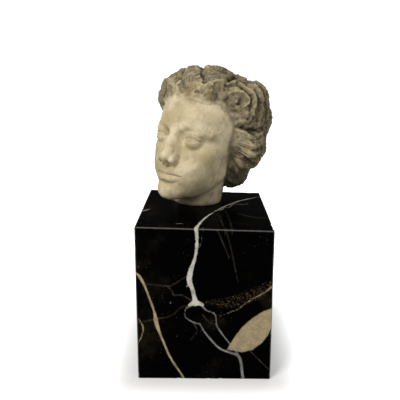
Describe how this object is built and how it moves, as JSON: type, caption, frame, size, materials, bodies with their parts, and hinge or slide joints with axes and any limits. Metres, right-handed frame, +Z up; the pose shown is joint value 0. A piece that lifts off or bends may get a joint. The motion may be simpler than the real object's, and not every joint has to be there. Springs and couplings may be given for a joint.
{
  "type": "marble head on a block base",
  "caption": "Carved marble head with thick wavy hair, broken off at the neck and set on an upright block of polished black marble.",
  "frame": {"origin": "middle of the flat underside of the block", "axes": "+Z up through the block and the head, front face of the block towards -Y"},
  "size_m": [0.159, 0.1932, 0.3514],
  "materials": {
    "aged_marble": "honed, stained and worn",
    "black_marble": "polished"
  },
  "bodies": {
    "root": {"marble_head": "aged_marble", "base_block": "black_marble"}
  },
  "joints": []
}
